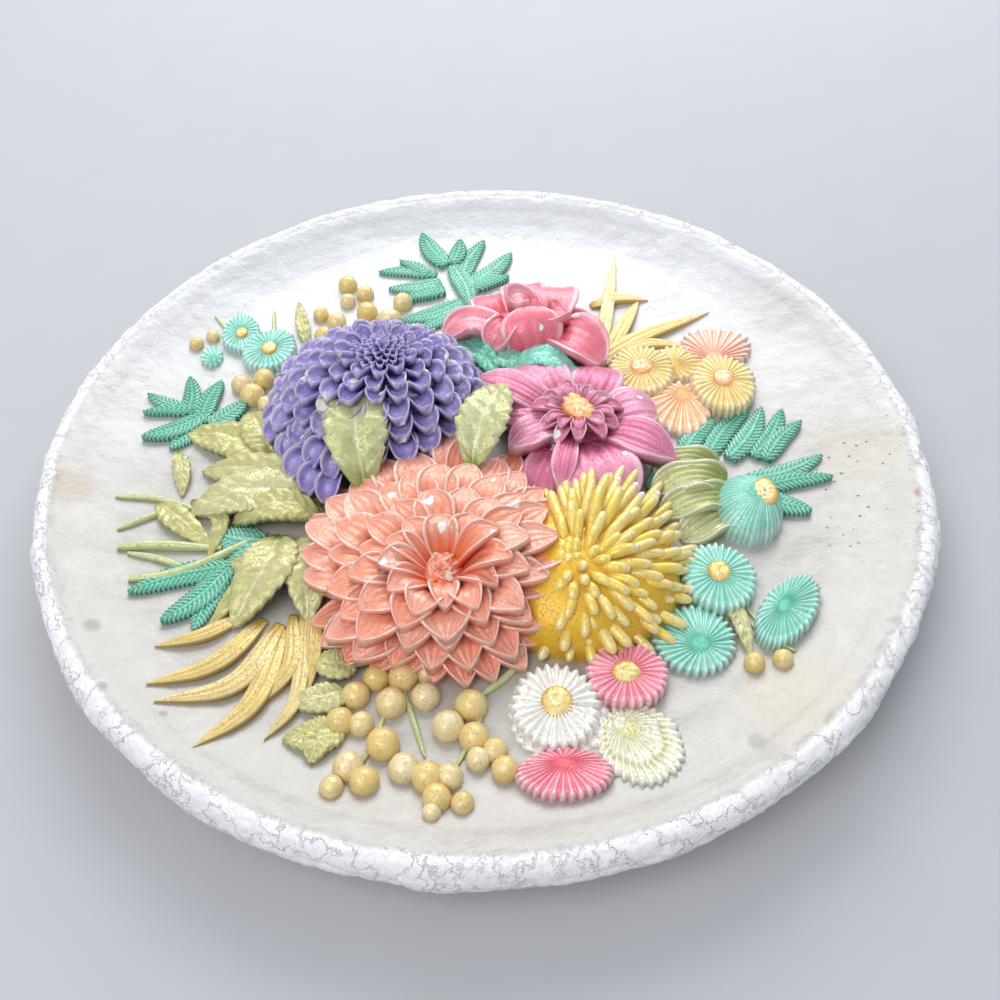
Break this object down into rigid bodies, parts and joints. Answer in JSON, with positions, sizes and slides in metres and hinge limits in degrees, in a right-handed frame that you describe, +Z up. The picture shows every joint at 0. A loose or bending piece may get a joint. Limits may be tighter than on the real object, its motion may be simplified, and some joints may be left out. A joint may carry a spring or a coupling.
{
  "type": "decorative wall plaque",
  "caption": "Round dished plaster wall plaque with a painted high-relief bouquet of dahlias, daisies, berries, ferns and leaves, and a flat back.",
  "frame": {"origin": "middle of the flat back, at the wall's surface", "axes": "+Z up as the plaque hangs, +Y into the wall, so the relief faces -Y, and +X to the viewer's right"},
  "size_m": [0.35, 0.0455, 0.35],
  "materials": {
    "pearl_ground": "cast plaster with a warm pearl-white paint, brushed, with small pits and grey rubs",
    "coral_paint": "pearlescent coral paint on cast plaster, pale on the petal edges",
    "violet_paint": "pearlescent violet paint on cast plaster, chipped to white on some petals",
    "yellow_paint": "metallic golden-yellow paint on cast plaster, tips chipped",
    "magenta_paint": "pearlescent magenta paint on cast plaster",
    "rose_paint": "pearlescent rose-red paint on cast plaster",
    "fern_paint": "pearlescent blue-green paint on cast plaster",
    "aqua_paint": "pearlescent aqua paint on cast plaster",
    "gold_paint": "gold pearl paint on cast plaster",
    "olive_paint": "pearlescent olive paint on cast plaster",
    "white_paint": "pearl-white paint on cast plaster"
  },
  "bodies": {
    "root": {"plaque": "pearl_ground"}
  },
  "joints": []
}
